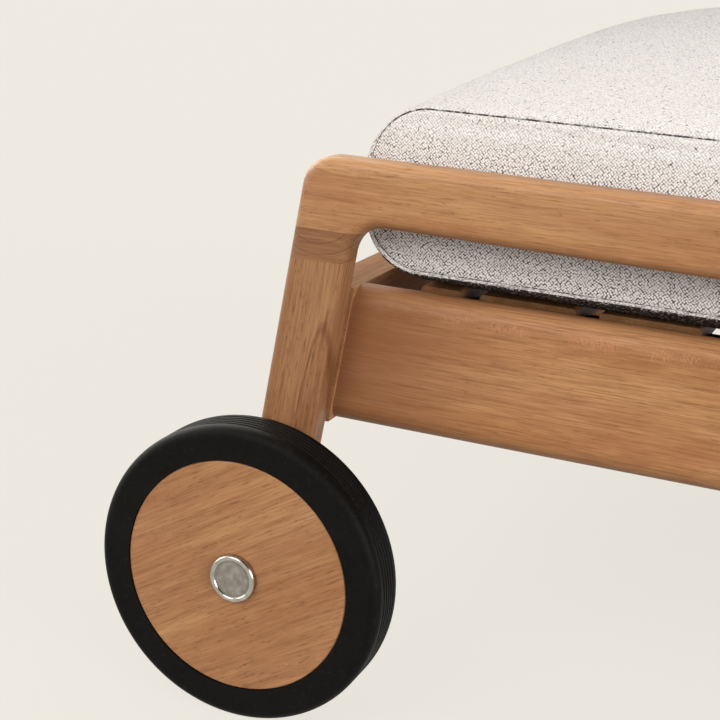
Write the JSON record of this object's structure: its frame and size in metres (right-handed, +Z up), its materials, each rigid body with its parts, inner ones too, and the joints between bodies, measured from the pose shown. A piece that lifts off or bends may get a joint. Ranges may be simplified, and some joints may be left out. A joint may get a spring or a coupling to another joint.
{
  "type": "outdoor lounger",
  "caption": "Teak sun lounger on wheels at the head end, with round-edged arms, a reclining slatted backrest held by a prop on toothed racks, and a thick mattress cushion.",
  "frame": {"origin": "on the floor, under the middle of the whole lounger's box", "axes": "+X from the wheeled head end to the foot end, +Y to the far side, +Z up"},
  "size_m": [2.04, 0.8, 0.4395],
  "materials": {
    "teak": "sanded, unvarnished teak",
    "teak_disc": "sanded teak board, cut round",
    "tyre_rubber": "matt black rubber",
    "steel": "satin stainless steel",
    "nylon": "matt black nylon",
    "cushion_fabric": "coarse knotted weave, off-white with dark flecks"
  },
  "bodies": {
    "frame": {"arm_far": "teak", "arm_near": "teak", "axle_far": "steel", "axle_near": "steel", "axle_nuts": "steel", "axle_washers": "steel", "cushion_fold": "cushion_fabric", "cushion_seat": "cushion_fabric", "foot_cross_rail": "teak", "foot_glides": "nylon", "head_cross_rail": "teak", "hinge_block_far": "teak", "hinge_block_near": "teak", "hinge_cross_rail": "teak", "hinge_pins": "steel", "hinge_washers": "steel", "knee_block_foot_far": "teak", "knee_block_foot_near": "teak", "knee_block_head_far": "teak", "knee_block_head_near": "teak", "knee_tenons": "teak", "ledger_far": "teak", "ledger_near": "teak", "leg_foot_far": "teak", "leg_foot_near": "teak", "leg_head_far": "teak", "leg_head_near": "teak", "leg_tenons": "teak", "rack_far": "teak", "rack_near": "teak", "rail_tenons": "teak", "seat_cross_rail": "teak", "seat_slats": "teak", "side_rail_far": "teak", "side_rail_near": "teak", "wheel_cap_far": "steel", "wheel_cap_near": "steel"},
    "backrest": {"backrest_head_rail": "teak", "backrest_slats": "teak", "backrest_stile_far": "teak", "backrest_stile_near": "teak", "cushion_back": "cushion_fabric", "prop_pins": "steel", "prop_washers": "steel"},
    "prop": {"prop_arm_far": "teak", "prop_arm_near": "teak", "prop_cross_rail": "teak", "prop_foot_bar": "steel"},
    "wheel_near": {"tyre_near": "tyre_rubber", "wheel_disc_near": "teak_disc", "wheel_bush_near": "nylon"},
    "wheel_far": {"tyre_far": "tyre_rubber", "wheel_disc_far": "teak_disc", "wheel_bush_far": "nylon"}
  },
  "joints": [
    {"name": "backrest_hinge", "type": "hinge", "parent": "frame", "child": "backrest", "pos_m": [-0.08837, 0, 0.2355], "axis": [0, 1, 0], "range_deg": [0, 60], "deforming": ["cushion_fold"]},
    {"name": "prop_hinge", "type": "hinge", "parent": "backrest", "child": "prop", "pos_m": [-0.41837, 0, 0.2355], "axis": [0, 1, 0], "range_deg": [-120, 0]},
    {"name": "wheel_near_spin", "type": "hinge", "parent": "frame", "child": "wheel_near", "pos_m": [-0.924, -0.36, 0.096], "axis": [0, 1, 0], "continuous": true},
    {"name": "wheel_far_spin", "type": "hinge", "parent": "frame", "child": "wheel_far", "pos_m": [-0.924, 0.36, 0.096], "axis": [0, 1, 0], "continuous": true}
  ],
  "couplings": [
    {"joint": "prop_hinge", "follows": "backrest_hinge", "ratio": -2}
  ]
}
